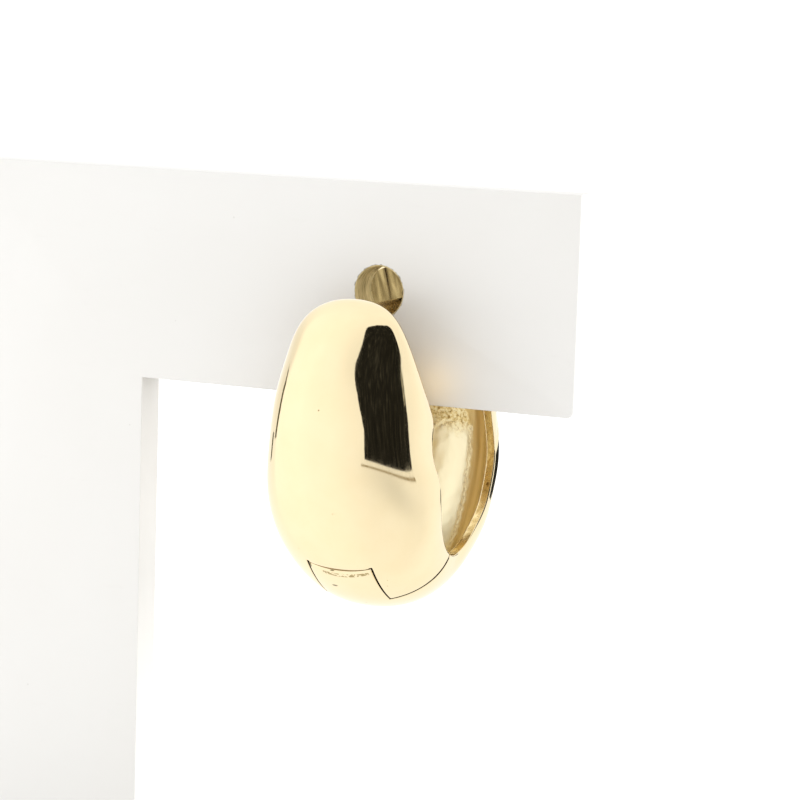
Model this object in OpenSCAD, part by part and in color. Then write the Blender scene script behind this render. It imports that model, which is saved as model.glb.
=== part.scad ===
// Hinged teardrop hoop earring, hanging by its ear post from a plain display stand.
// Origin at the middle of the underside of the stand's base, +Z up, +Y behind the stand's panel.

/* [Hoop] */
// Height of the ear post's hole above the floor
hole_height = 46; // [44:0.5:50]
// Hole's distance to the right of the middle of the base
hole_x = 8.5; // [7:0.5:10]
// Depth of the hoop's centre below the hole
hoop_drop = 9.7; // [9.5:0.05:9.9]
// Distance of the hoop's centre behind the panel's middle
hoop_back = 0.35; // [0.2:0.05:0.5]
// Thickness of the gold wall
wall = 0.6; // [0.5:0.05:0.7]
// Angle of the front half's closed end, from the top
front_tip = 24.5; // [24:0.5:25]
// Angle of the back half's closed end, from the top round the front and bottom
back_tip = 350; // [349:0.5:351]
// Angle over which the front half's closed end widens to its full width
front_width_run = 47; // [45:1:49]
// Angle over which the back half's closed end widens to its full width
back_width_run = 42; // [40:1:44]
// Angle over which the front half's closed end deepens to its full depth
front_depth_run = 17.5; // [16:0.5:19]
// Angle over which the back half's closed end deepens to its full depth
back_depth_run = 40; // [38:1:42]

/* [Hinge] */
// Angle of the seam on the outer middle line
seam_angle = 160; // [159.5:0.5:160.5]
// Lean of the seam from the vertical
seam_lean = 45; // [44:0.5:46]
// Gap between the two halves at the seam
seam_gap = 0.14; // [0.13:0.01:0.16]
// Angle of the hinge pin round the hoop
pin_angle = 148.5; // [148:0.5:149]
// Depth of the pin's axis under the outer surface
pin_depth = 1.2; // [1.15:0.05:1.25]
// Radius of the hinge pin
pin_r = 0.35; // [0.3:0.01:0.38]
// Radial clearance of the pin in its bore
pin_clear = 0.03; // [0.02:0.01:0.05]
// Half the width of the back half's tongue
tongue_half = 2.13; // [2.1:0.01:2.15]
// Reach of the tongue's round end from the pin's axis
tongue_r = 1.6; // [1.58:0.01:1.62]
// Gap between the tongue and its slot
slot_gap = 0.12; // [0.1:0.01:0.14]
// Radius of the two ears that hold the pin
ear_r = 0.55; // [0.52:0.01:0.58]
// Thickness of each ear
ear_t = 0.6; // [0.5:0.05:0.65]

/* [Ear post] */
// Radius of the ear post
post_r = 0.45; // [0.4:0.01:0.5]
// Depth of the post's axis below the middle of the hole
post_drop = 1.1; // [1:0.01:1.1]
// Front end of the post, measured from the panel's middle
post_front = -5.5; // [-5.6:0.1:-5.3]
// Free end of the post, measured from the panel's middle
post_back = 4.3; // [4.1:0.05:4.4]
// Radius of the blunt tip of the post
post_tip_r = 0.22; // [0.15:0.01:0.3]
// Half the width of the arched catch that takes the post's free end
catch_half = 0.6; // [0.58:0.01:0.65]

/* [Stand] */
// Thickness of the stand's panel
panel_t = 2.3; // [2:0.1:2.6]
// Width of the panel's upright and height of its arm
panel_w = 13.65; // [13:0.05:14]
// Length of the whole arm
arm_l = 43.8; // [42:0.1:46]
// Distance from the hole to the free end of the arm
hole_to_end = 13.3; // [12:0.1:15]
// Radius of the hole that the ear post hangs in
hole_r = 1.6; // [1.6:0.01:1.7]
// Radius of the panel's rounded corners
corner_r = 0.5; // [0.3:0.1:0.8]
// Width of the base
base_w = 50; // [48:1:56]
// Depth of the base
base_d = 30; // [26:1:40]
// Thickness of the base
base_t = 3; // [2:0.5:4]

/* [Hidden] */
// Columns of a section: outer radius, rim radius, half width, squareness of its oval
OUTER = 0;
RIM = 1;
HALF_WIDTH = 2;
SQUARENESS = 3;
// Sections fan out from the hoop's centre: one each 15 degrees, from the top round the front
FIRST_SECTION = 30;
SECTION_STEP = 15;
SECTIONS = [
    [11.3, 10.3, 5.15, 2.15],
    [10.55, 5.55, 5.0, 2.2],
    [9.8, 4.2, 5.1, 2.4],
    [9.25, 4.15, 5.1, 2.55],
    [8.9, 4.15, 5.25, 2.55],
    [8.8, 4.0, 5.55, 2.5],
    [9.0, 4.15, 5.7, 2.45],
    [9.35, 4.75, 5.55, 2.3],
    [9.85, 5.45, 5.15, 2.15],
    [10.35, 6.15, 4.95, 2.15],
    [10.55, 6.85, 4.8, 2.1],
    [10.5, 6.9, 4.95, 1.95],
    [10.45, 6.4, 5.05, 1.95],
    [10.3, 6.1, 5.3, 2.0],
    [10.05, 5.75, 5.3, 1.95],
    [9.7, 5.5, 5.4, 2.0],
    [9.45, 5.35, 5.3, 2.05],
    [9.35, 5.4, 5.1, 2.25],
    [9.55, 5.85, 4.95, 2.55],
    [10.1, 6.9, 4.8, 2.9],
    [10.9, 8.6, 4.7, 3.2],
    [11.9, 10.7, 4.6, 3.3],
    [12.8, 12.3, 4.5, 3.3]
];
SECTION_COUNT = len(SECTIONS);
ACROSS = 20;
FRONT_STATIONS = 32;
BACK_STATIONS = 40;
TIP_CROWDING = 1.5;
SOLID_STATION_STEP = 5;
// Solid length of each closed end and of each seam end, in degrees round the hoop
FRONT_SOLID_TIP = 6.5;
BACK_SOLID_TIP = 20.5;
SOLID_SEAM = 5.5;
// The rim of the seam lies further round than its outer middle line
SEAM_SKEW = 16;
SKEW_RUN = 60;
// Each half's skin first runs past the seam, the back one's as far as the tongue, and is then cut
FRONT_PAST_SEAM = 8;
BACK_PAST_SEAM = 32;
NECK_INNER = 1.0;
OUT_REACH = 4;
IN_REACH = 7;
BORE_OVERRUN = 0.1;
PIN_SHORT = 0.05;
POST_TAPER = 0.5;
CATCH_LOW = 0.53;
CATCH_HIGH = 1.05;
CATCH_END_GAP = 0.5;
hoop_z = hole_height - hoop_drop;
post_z = hole_height - post_drop;
arm_top = hole_height + panel_w / 2;
arm_low = arm_top - panel_w;
arm_right = hole_x + hole_to_end;
upright_left = arm_right - arm_l;
ear_outer = tongue_half + slot_gap + ear_t;
hoop_span = 7;
$fn = 96;

// Curve drawn along four neighbouring rows of the table: it bends evenly and passes close to each row
function blend_rows(a, b, c, d, u) =
    (pow(1 - u, 3) * a + (3 * u * u * u - 6 * u * u + 4) * b + (3 * u + 3 * u * u - 3 * u * u * u + 1) * c
        + u * u * u * d) / 6;

// The table's row at any angle round the hoop
function section(angle) =
    let (
        place = (angle - FIRST_SECTION) / SECTION_STEP,
        i = max(0, min(SECTION_COUNT - 2, floor(place))),
        before = SECTIONS[max(0, i - 1)],
        after = SECTIONS[min(SECTION_COUNT - 1, i + 2)]
    )
    blend_rows(before, SECTIONS[i], SECTIONS[i + 1], after, place - i);

// Point at an angle and a radius, in the hoop's own plane: [y, z]
function hoop_point(angle, radius) =
    [hoop_back - radius * sin(angle), hoop_z + radius * cos(angle)];

// How far a closed end has opened: 0 at its tip and 1 past its run
function opened(angle, tip, run) =
    let (u = min(1, abs(angle - tip) / run)) sqrt(1 - pow(1 - u, 3));

// Rim's angle for a section whose outer middle is at the given angle
function rim_angle(angle) =
    angle + SEAM_SKEW * pow(cos(90 * min(1, abs(angle - seam_angle) / SKEW_RUN)), 3);

// Length of the unit oval's radius at an angle from its middle line
function oval_radius(spread, squareness) =
    pow(pow(abs(sin(spread)), squareness) + pow(abs(cos(spread)), squareness), -1 / squareness);

// Points of one cross-section, from the left rim over the outer middle line to the right rim.
// A section is its full size where wide and deep are 1, and closes up as they fall to 0.
function section_points(angle, wide, deep, inset) =
    let (
        row = section(angle),
        rim = hoop_point(rim_angle(angle), section(rim_angle(angle))[RIM]),
        middle = hoop_point(angle, row[OUTER] - inset),
        half = (row[HALF_WIDTH] - inset) * wide
    )
    [for (j = [0:ACROSS])
        let (
            spread = -90 + 180 * j / ACROSS,
            r = oval_radius(spread, row[SQUARENESS]),
            p = rim + (middle - rim) * deep * r * cos(spread)
        )
        [hole_x + half * r * sin(spread), p[0], p[1]]];

function tip_point(angle) =
    let (p = hoop_point(angle, section(angle)[RIM])) [hole_x, p[0], p[1]];

// Angle of a station: the stations crowd towards the closed end
function station(tip, last, i, count) =
    tip + (last - tip) * pow(i / count, TIP_CROWDING);

function flat_list(rows) = [for (row = rows) for (point = row) point];

// Hollow half of the hoop as one closed skin: a solid tip, a hollow stretch open along its rim,
// and a solid stretch from the hollow's end to the last station
module half_shell(tip, hollow_last, last, solid_tip, width_run, depth_run, stations) {
    way = sign(last - tip);
    hollow_tip = tip + way * solid_tip;
    hollow_run = width_run - solid_tip / 2;
    solid_stations = ceil(abs(last - hollow_last) / SOLID_STATION_STEP);
    all_stations = stations + solid_stations;
    per_row = ACROSS + 1;
    hollow_angles = [for (i = [1:stations]) station(tip, hollow_last, i, stations)];
    solid_angles = [for (i = [1:solid_stations]) hollow_last + (last - hollow_last) * i / solid_stations];
    outer_rows = [for (angle = concat(hollow_angles, solid_angles))
        section_points(angle, opened(angle, tip, width_run), opened(angle, tip, depth_run), 0)];
    inner_rows = [for (i = [1:stations])
        let (
            angle = station(hollow_tip, hollow_last, i, stations),
            open = opened(angle, hollow_tip, hollow_run)
        )
        section_points(angle, open, open, wall)];
    inner_start = 1 + all_stations * per_row;
    points = concat([tip_point(tip)], flat_list(outer_rows), [tip_point(hollow_tip)], flat_list(inner_rows));
    function outer(i, j) = 1 + (i - 1) * per_row + j;
    function inner(i, j) = inner_start + 1 + (i - 1) * per_row + j;
    outer_tip_faces = [for (j = [0:ACROSS - 1]) [0, outer(1, j + 1), outer(1, j)]];
    outer_faces = [for (i = [1:all_stations - 1]) for (j = [0:ACROSS - 1]) for (half = [0, 1])
        half == 0
            ? [outer(i, j), outer(i, j + 1), outer(i + 1, j + 1)]
            : [outer(i, j), outer(i + 1, j + 1), outer(i + 1, j)]];
    inner_tip_faces = [for (j = [0:ACROSS - 1]) [inner_start, inner(1, j), inner(1, j + 1)]];
    inner_faces = [for (i = [1:stations - 1]) for (j = [0:ACROSS - 1]) for (half = [0, 1])
        half == 0
            ? [inner(i, j), inner(i + 1, j + 1), inner(i, j + 1)]
            : [inner(i, j), inner(i + 1, j), inner(i + 1, j + 1)]];
    rim_tip_faces = [
        [0, outer(1, 0), inner(1, 0)],
        [0, inner(1, 0), inner_start],
        [0, inner(1, ACROSS), outer(1, ACROSS)],
        [0, inner_start, inner(1, ACROSS)]
    ];
    rim_faces = [for (i = [1:stations - 1]) for (k = [0:3])
        k == 0 ? [outer(i, 0), outer(i + 1, 0), inner(i + 1, 0)] :
        k == 1 ? [outer(i, 0), inner(i + 1, 0), inner(i, 0)] :
        k == 2 ? [outer(i, ACROSS), inner(i + 1, ACROSS), outer(i + 1, ACROSS)] :
        [outer(i, ACROSS), inner(i, ACROSS), inner(i + 1, ACROSS)]];
    hollow_end_faces = [
        [for (j = [ACROSS:-1:0]) inner(stations, j)],
        [outer(stations, 0), outer(stations + 1, 0), inner(stations, 0)],
        [inner(stations, 0), outer(stations + 1, 0), outer(stations + 1, ACROSS)],
        [inner(stations, 0), outer(stations + 1, ACROSS), inner(stations, ACROSS)],
        [inner(stations, ACROSS), outer(stations + 1, ACROSS), outer(stations, ACROSS)]
    ];
    solid_rim_faces = [for (i = [stations + 1:all_stations - 1])
        [outer(i, 0), outer(i + 1, 0), outer(i + 1, ACROSS), outer(i, ACROSS)]];
    end_faces = [[for (j = [0:ACROSS]) outer(all_stations, j)]];
    faces = concat(outer_tip_faces, outer_faces, inner_tip_faces, inner_faces, rim_tip_faces, rim_faces,
        hollow_end_faces, solid_rim_faces, end_faces);
    turned = [for (face = faces) [for (k = [len(face) - 1:-1:0]) face[k]]];
    polyhedron(points = points, faces = way > 0 ? faces : turned, convexity = 6);
}

// Puts a shape drawn round the pin in place: +X along the pin, +Y across the seam to the back, +Z inwards
module at_pin() {
    pin = hoop_point(pin_angle, section(pin_angle)[OUTER] - pin_depth);
    translate([hole_x, pin[0], pin[1]])
    rotate([-seam_lean, 0, 0])
    children();
}

// Distance from the pin's axis across to the seam
function pin_to_seam() =
    let (
        pin = hoop_point(pin_angle, section(pin_angle)[OUTER] - pin_depth),
        seam = hoop_point(seam_angle, section(seam_angle)[OUTER])
    )
    (seam[0] - pin[0]) * cos(seam_lean) - (seam[1] - pin[1]) * sin(seam_lean);

module along_pin(radius, half_length) {
    rotate([0, 90, 0])
    cylinder(r = radius, h = 2 * half_length, center = true);
}

// The tongue seen along the pin: a round end about the pin and a neck that crosses the seam
module tongue_block(half_width, grow) {
    along_pin(tongue_r + grow, half_width);
    translate([-half_width, 0, -OUT_REACH])
    cube([2 * half_width, pin_to_seam() + 2, OUT_REACH + NECK_INNER + grow]);
}

// All that lies on one side of the seam, from an edge of its gap towards the front or the back
module seam_side(edge, way) {
    depth = 9;
    translate([-hoop_span, edge + (way > 0 ? 0 : -depth), -OUT_REACH])
    cube([2 * hoop_span, depth, OUT_REACH + IN_REACH]);
}

module pin_bore() {
    along_pin(pin_r + pin_clear, ear_outer + BORE_OVERRUN);
}

module ear_post() {
    translate([hole_x, post_front, post_z])
    rotate([-90, 0, 0]) {
        cylinder(r = post_r, h = post_back - POST_TAPER - post_front);
        translate([0, 0, post_back - POST_TAPER - post_front])
        cylinder(r1 = post_r, r2 = post_tip_r, h = POST_TAPER);
    }
}

// Arched opening in the back half's top end
module catch_opening() {
    depth = post_back + CATCH_END_GAP;
    arch_z = post_z + CATCH_HIGH - catch_half;
    translate([hole_x - catch_half, 0, post_z - CATCH_LOW])
    cube([2 * catch_half, depth, arch_z - post_z + CATCH_LOW]);
    translate([hole_x, 0, arch_z])
    rotate([-90, 0, 0])
    cylinder(r = catch_half, h = depth);
}

module front_half() {
    color("gold")
    difference() {
        union() {
            half_shell(front_tip, seam_angle - SOLID_SEAM, seam_angle + FRONT_PAST_SEAM, FRONT_SOLID_TIP,
                front_width_run, front_depth_run, FRONT_STATIONS);
            at_pin()
            for (side = [-1, 1])
                translate([side * (ear_outer - ear_t / 2 - BORE_OVERRUN / 2), 0, 0])
                along_pin(ear_r, (ear_t + BORE_OVERRUN) / 2);
            ear_post();
        }
        at_pin()
        seam_side(pin_to_seam() - seam_gap / 2, 1);
        at_pin()
        tongue_block(tongue_half + slot_gap, slot_gap);
        at_pin()
        pin_bore();
    }
}

module back_half() {
    color("gold")
    difference() {
        half_shell(back_tip, seam_angle + SOLID_SEAM, seam_angle - BACK_PAST_SEAM, BACK_SOLID_TIP,
            back_width_run, back_depth_run, BACK_STATIONS);
        at_pin()
        difference() {
            seam_side(pin_to_seam() + seam_gap / 2, -1);
            tongue_block(tongue_half, 0);
        }
        at_pin()
        pin_bore();
        catch_opening();
    }
}

module hinge_pin() {
    color("goldenrod")
    at_pin()
    along_pin(pin_r, ear_outer - PIN_SHORT);
}

module stand_panel() {
    color("white")
    difference() {
        translate([0, panel_t / 2, 0])
        rotate([90, 0, 0])
        linear_extrude(panel_t)
        union() {
            translate([upright_left, arm_low])
            square([arm_l - corner_r, panel_w - corner_r]);
            translate([upright_left + corner_r, arm_low + corner_r])
            square([arm_l - corner_r, panel_w - corner_r]);
            translate([upright_left, base_t])
            square([panel_w, arm_low - base_t + corner_r]);
            for (corner = [[upright_left + corner_r, arm_top - corner_r],
                    [arm_right - corner_r, arm_low + corner_r]])
                translate(corner)
                circle(r = corner_r);
        }
        translate([hole_x, 0, hole_height])
        rotate([90, 0, 0])
        cylinder(r = hole_r, h = panel_t + 2, center = true);
    }
}

module stand_base() {
    color("whitesmoke")
    translate([-base_w / 2, -base_d / 2, 0])
    cube([base_w, base_d, base_t]);
}

front_half();
back_half();
hinge_pin();
stand_panel();
stand_base();
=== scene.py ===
# %% [markdown]
# # A hinged teardrop hoop on its display stand
# A hollow gold hoop earring hangs by its own ear post from a hole in a white board. This notebook dresses
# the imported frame: it makes the two gold halves as fine surfaces, the board and its foot with soft edges,
# and gives every surface a finish. All sizes below are in millimetres, as a goldsmith would write them, and
# each mesh is put into metres when it is made.

# %% The frame
import math

import bmesh
import bpy
import numpy as np
from mathutils import Matrix, Vector


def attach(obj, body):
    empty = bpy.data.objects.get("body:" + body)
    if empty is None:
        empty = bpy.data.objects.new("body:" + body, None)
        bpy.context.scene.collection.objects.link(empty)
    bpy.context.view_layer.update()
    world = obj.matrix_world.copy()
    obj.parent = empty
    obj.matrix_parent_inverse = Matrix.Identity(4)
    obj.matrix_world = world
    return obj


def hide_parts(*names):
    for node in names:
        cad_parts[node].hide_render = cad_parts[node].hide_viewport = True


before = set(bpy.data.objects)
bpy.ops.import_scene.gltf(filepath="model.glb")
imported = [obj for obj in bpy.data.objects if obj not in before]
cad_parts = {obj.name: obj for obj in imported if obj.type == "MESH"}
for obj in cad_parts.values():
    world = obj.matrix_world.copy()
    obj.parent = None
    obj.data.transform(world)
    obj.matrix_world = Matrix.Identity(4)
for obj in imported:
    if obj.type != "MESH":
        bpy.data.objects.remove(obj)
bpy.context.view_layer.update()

MM = 0.001

# %% [markdown]
# ## The camera
# The photograph was taken with a long lens, a little from the right and a little from above. The camera could
# be aimed at a target by a constraint, but then its roll is left to chance. A pinhole camera is a place, three
# directions and a focal length, so those go straight into the camera's matrix.

# %% Camera
FRAME_SIDE = 800
FOCAL_PIXELS = 2900
SENSOR = 36.0
CAMERA_PLACE = (84.92, -164.24, 65.38)
CAMERA_RIGHT = (0.9068, 0.4205, 0.0306)
CAMERA_UP = (-0.08795, 0.1177, 0.98915)
CAMERA_BACK = (0.41237, -0.8997, 0.14369)

camera_data = bpy.data.cameras.new("camera")
camera_data.sensor_width = SENSOR
camera_data.lens = SENSOR * FOCAL_PIXELS / FRAME_SIDE
camera_data.clip_start = 0.01
camera_data.clip_end = 50.0
camera = bpy.data.objects.new("camera", camera_data)
camera_matrix = Matrix((CAMERA_RIGHT, CAMERA_UP, CAMERA_BACK)).transposed().to_4x4()
camera_matrix.translation = [value * MM for value in CAMERA_PLACE]
camera.matrix_world = camera_matrix
bpy.context.scene.collection.objects.link(camera)
bpy.context.scene.camera = camera
print("Lens in mm:", round(camera_data.lens, 1))

# %% [markdown]
# ## The hoop's table
# The hoop is a fan of cross-sections round one centre, one each 15 degrees from the top, down the front,
# round the bottom and up the back. Each is an open half oval: its ends lie on the rim, and its middle on
# the outer line. The form could also be sculpted, or lofted between drawn curves. A table was chosen because
# four numbers say all about a section, and a smooth curve along the rows gives any section between them.

# %% Table of sections
# Columns: outer radius, rim radius, half width, squareness of the oval
SECTIONS = np.array([
    [11.3, 10.3, 5.15, 2.15],
    [10.55, 5.55, 5.0, 2.2],
    [9.8, 4.2, 5.1, 2.4],
    [9.25, 4.15, 5.1, 2.55],
    [8.9, 4.15, 5.25, 2.55],
    [8.8, 4.0, 5.55, 2.5],
    [9.0, 4.15, 5.7, 2.45],
    [9.35, 4.75, 5.55, 2.3],
    [9.85, 5.45, 5.15, 2.15],
    [10.35, 6.15, 4.95, 2.15],
    [10.55, 6.85, 4.8, 2.1],
    [10.5, 6.9, 4.95, 1.95],
    [10.45, 6.4, 5.05, 1.95],
    [10.3, 6.1, 5.3, 2.0],
    [10.05, 5.75, 5.3, 1.95],
    [9.7, 5.5, 5.4, 2.0],
    [9.45, 5.35, 5.3, 2.05],
    [9.35, 5.4, 5.1, 2.25],
    [9.55, 5.85, 4.95, 2.55],
    [10.1, 6.9, 4.8, 2.9],
    [10.9, 8.6, 4.7, 3.2],
    [11.9, 10.7, 4.6, 3.3],
    [12.8, 12.3, 4.5, 3.3],
])
OUTER, RIM, HALF_WIDTH, SQUARENESS = range(4)
FIRST_SECTION = 30.0
SECTION_STEP = 15.0
last_section = FIRST_SECTION + SECTION_STEP * (len(SECTIONS) - 1)
print("Sections:", len(SECTIONS), "from", FIRST_SECTION, "to", last_section)

# %% Points from the table
HOLE_X = 8.5
HOLE_Z = 46.0
HOOP_BACK = 0.35
HOOP_Z = HOLE_Z - 9.7
WALL = 0.6
SEAM_ANGLE = 160.0
SEAM_SKEW = 16.0
SKEW_RUN = 60.0


def section(angle):
    """The table's row at each angle: a cubic B-spline of the four rows around it, whose bend never jumps."""
    place = (angle - FIRST_SECTION) / SECTION_STEP
    last = len(SECTIONS) - 1
    i = np.clip(np.floor(place), 0, last - 1).astype(int)
    u = (place - i)[..., None]
    a, b = SECTIONS[np.maximum(i - 1, 0)], SECTIONS[i]
    c, d = SECTIONS[i + 1], SECTIONS[np.minimum(i + 2, last)]
    return ((1 - u) ** 3 * a + (3 * u ** 3 - 6 * u ** 2 + 4) * b + (1 + 3 * u + 3 * u ** 2 - 3 * u ** 3) * c
            + u ** 3 * d) / 6


def hoop_point(angle, radius):
    """Point (y, z) at an angle from the top and a radius from the hoop's centre."""
    turn = np.radians(angle)
    return np.stack([HOOP_BACK - radius * np.sin(turn), HOOP_Z + radius * np.cos(turn)], axis=-1)


def opened(angle, tip, run):
    """Rises steeply from 0 at the closed tip and flattens out at 1 past its run: sqrt(1 - (1 - u)^3)."""
    u = np.minimum(1.0, np.abs(angle - tip) / run)
    return np.sqrt(np.maximum(0.0, 1.0 - (1.0 - u) ** 3))


def rim_angle(angle):
    """The rim's angle for an outer angle: near the seam it runs ahead by a smooth hump, cosine cubed."""
    near = np.minimum(1.0, np.abs(angle - SEAM_ANGLE) / SKEW_RUN)
    return angle + SEAM_SKEW * np.cos(0.5 * np.pi * near) ** 3


print("Outer radius at the seam in mm:", round(float(section(np.array(SEAM_ANGLE))[OUTER]), 3))

# %% [markdown]
# ## From a section to a grid
# A section is drawn in its own flat plane: `across` runs to the right and `depth` runs from the rim line to
# the outer middle. The half oval is a superellipse. Its two ends are turned in by a small quarter circle,
# because a polished lip is never a knife edge. An even grid would need far more points for that, so the
# points crowd at the lip and beside the hinge's slot, where the surface bends most.

# %% Columns of a grid
LIP = 0.08
LIP_STEPS = 6
LIP_SHARE = 0.3
SLOT_HALF = 2.25
SLOT_BAND = 0.045
SLOT_SHARE = 0.5
NARROWEST = 0.1
OUTER_SKIN, INNER_SKIN = 1, -1


def spread_columns(row_slot, row_lip, coarse, fine):
    """Spread angles from the middle line to the lip on one side: coarse, fine about the slot, coarse."""
    stops = np.stack([0 * row_slot, row_slot - SLOT_BAND, row_slot + SLOT_BAND, row_lip], axis=-1)
    parts = []
    for k, count in enumerate((coarse // 3, fine, coarse - coarse // 3)):
        u = np.arange(count) / count
        parts.append(stops[..., k:k + 1] * (1 - u) + stops[..., k + 1:k + 2] * u)
    return np.concatenate(parts, axis=-1)


def section_grid(angle, wide, deep, inset, coarse, fine, skin):
    """Grid of points, a row for each angle and a column for each place from the left lip to the right one.

    The oval is across = W r sin(s), depth = D r cos(s), with r = (|sin s|^n + |cos s|^n)^(-1/n).
    The lip is a quarter circle of radius LIP, smaller where the section is narrow. It turns the last
    stretch in on the outer skin and out on the inner one.
    """
    row = section(angle)
    rim = hoop_point(rim_angle(angle), section(rim_angle(angle))[..., RIM])
    middle = hoop_point(angle, row[..., OUTER] - inset)
    reach = np.linalg.norm(middle - rim, axis=-1)
    along = (middle - rim) / reach[..., None]
    width = (row[..., HALF_WIDTH] - inset) * wide
    depth = reach * deep
    n = row[..., SQUARENESS]
    lip = np.minimum(LIP, LIP_SHARE * np.minimum(width, depth))
    low = np.clip(lip / depth, 0, 1)
    lip_spread = np.arctan2((1 - low ** n) ** (1 / n), low)
    slot = np.minimum(SLOT_SHARE, SLOT_HALF / np.maximum(width, NARROWEST))
    slot_spread = np.arctan2(slot, (1 - slot ** n) ** (1 / n))
    right = spread_columns(slot_spread, lip_spread, coarse, fine)
    n = n[..., None]
    radius = (np.abs(np.sin(right)) ** n + np.abs(np.cos(right)) ** n) ** (-1 / n)
    oval_across = width[..., None] * radius * np.sin(right)
    oval_depth = depth[..., None] * radius * np.cos(right)
    turn = np.linspace(0.5 * np.pi, 0, LIP_STEPS)
    lip = lip[..., None]
    lip_depth = lip * (1 - np.cos(turn))
    edge = width[..., None] * (1 - np.clip(lip_depth / depth[..., None], 0, 1) ** n) ** (1 / n)
    lip_across = edge - skin * lip * (1 - np.sin(turn))
    half_across = np.concatenate([oval_across, lip_across], axis=-1)
    half_depth = np.concatenate([oval_depth, lip_depth], axis=-1)
    across = np.concatenate([-half_across[..., :0:-1], half_across], axis=-1)
    depth_all = np.concatenate([half_depth[..., :0:-1], half_depth], axis=-1)
    plane = rim[..., None, :] + along[..., None, :] * depth_all[..., None]
    return np.concatenate([HOLE_X + across[..., None], plane], axis=-1)


sample = section_grid(np.array([100.0]), 1.0, 1.0, 0.0, 30, 10, OUTER_SKIN)
print("Columns in a sample section:", sample.shape[1], "width in mm:", round(np.ptp(sample[..., 0]), 2))

# %% [markdown]
# ## Where the hinge lies
# The two halves meet on a slanted flat seam, and the back half sends a round tongue through it into a slot
# in the front half. Every cut could be worked out in the frame's own directions, but the slant would be in
# each of them. It is easier to measure from the hinge pin: x along the pin, y across the seam and z inwards.
# One small matrix turns those into the frame's directions.

# %% Pin's own directions
PIN_ANGLE = 148.5
PIN_DEPTH = 1.2
PIN_R = 0.35
PIN_CLEAR = 0.03
SEAM_LEAN = math.radians(45.0)
SEAM_GAP = 0.14
TONGUE_HALF = 2.13
TONGUE_R = 1.6
SLOT_GAP = SLOT_HALF - TONGUE_HALF
NECK_INNER = 1.0
EAR_R = 0.55
EAR_T = 0.6
NECK_OVERRUN = 2.0
OUT_REACH = 4.0
IN_REACH = 7.0
CUT_SPAN = 7.0
CUT_DEPTH = 9.0

pin_yz = hoop_point(np.array(PIN_ANGLE), section(np.array(PIN_ANGLE))[OUTER] - PIN_DEPTH)
seam_yz = hoop_point(np.array(SEAM_ANGLE), section(np.array(SEAM_ANGLE))[OUTER])
pin_place = np.array([HOLE_X, pin_yz[0], pin_yz[1]])
pin_axes = np.array([
    [1.0, 0.0, 0.0],
    [0.0, math.cos(SEAM_LEAN), -math.sin(SEAM_LEAN)],
    [0.0, math.sin(SEAM_LEAN), math.cos(SEAM_LEAN)],
])
pin_to_seam = float(pin_axes[1, 1:] @ (seam_yz - pin_yz))


def from_pin(points):
    """Points measured from the pin, turned and moved into the frame's directions."""
    return points @ pin_axes + pin_place


def to_pin(points):
    """The same, the other way."""
    return (points - pin_place) @ pin_axes.T


print("Pin in mm:", pin_place.round(4), "pin to seam:", round(pin_to_seam, 3))

# %% [markdown]
# ## Soft edges where the metal is cut
# The seam and the slot are sawn and then polished, so their edges are slightly round. A Bevel modifier
# stumbles over the thin slivers that a cut leaves in a fine grid, so the skin is rounded before it is cut. It
# dips by a quarter circle as it comes near a cut: how far a point lies from the cut follows from the shapes
# of the seam and the tongue, and the dip follows from that distance.

# %% Distance to a cut, and the dip
CUT_EDGE = 0.06


def tongue_distance(local, half, radius):
    """Distance outside the tongue: sideways from its cheeks, or from its round end before the pin."""
    sideways = np.abs(local[..., 0]) - half
    end = np.where(local[..., 1] > 0, -1.0, np.hypot(local[..., 1], local[..., 2]) - radius)
    both = np.hypot(np.maximum(sideways, 0), np.maximum(end, 0))
    return np.where((sideways > 0) & (end > 0), both, np.maximum(sideways, end))


def front_distance(local):
    """How far a point of the front half's skin lies from the seam or the slot, whichever is nearer."""
    seam = pin_to_seam - SEAM_GAP / 2 - local[..., 1]
    return np.minimum(seam, tongue_distance(local, SLOT_HALF, TONGUE_R + SLOT_GAP))


def back_distance(local):
    """The same for the back half, whose skin runs on over the tongue."""
    seam = local[..., 1] - pin_to_seam - SEAM_GAP / 2
    return np.maximum(seam, -tongue_distance(local, TONGUE_HALF, TONGUE_R))


def grid_normals(points):
    """Unit normals of a grid, from the cross product of its two directions."""
    normal = np.cross(np.gradient(points, axis=0), np.gradient(points, axis=1))
    return normal / np.maximum(np.linalg.norm(normal, axis=-1, keepdims=True), 1e-9)


def soften_cut(points, distance, inward):
    """Dips the skin by e - sqrt(e^2 - (e - d)^2) where its distance d from the cut is under e."""
    d = np.clip(distance(to_pin(points)), 0, CUT_EDGE)
    dip = CUT_EDGE - np.sqrt(np.maximum(CUT_EDGE ** 2 - (CUT_EDGE - d) ** 2, 0))
    return points + grid_normals(points) * (inward * dip)[..., None]


print("Round of a cut edge in mm:", CUT_EDGE)

# %% [markdown]
# ## A hollow half as one closed skin
# A half is hollow, but it is solid in its closed tip and again beside the seam, where the hinge needs metal.
# A Solidify modifier gives one wall thickness everywhere, so the half is made as an outer grid and an inner
# grid instead, joined along the rim by two ribbons. Every corner is shared, so the skin is closed and the
# later cuts can be exact. Faces are index arrays, made by adding offsets and never one by one.

# %% Faces of grids
POLISHED, CAST, SATIN = range(3)


def quads(first, row_length, rows, columns):
    """Corner indices of a grid's quads: each takes a corner, the next column, the next row and back."""
    i, j = np.meshgrid(np.arange(rows - 1), np.arange(columns - 1), indexing="ij")
    corner = first + i * row_length + j
    return np.stack([corner, corner + 1, corner + row_length + 1, corner + row_length], axis=-1).reshape(-1, 4)


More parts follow.
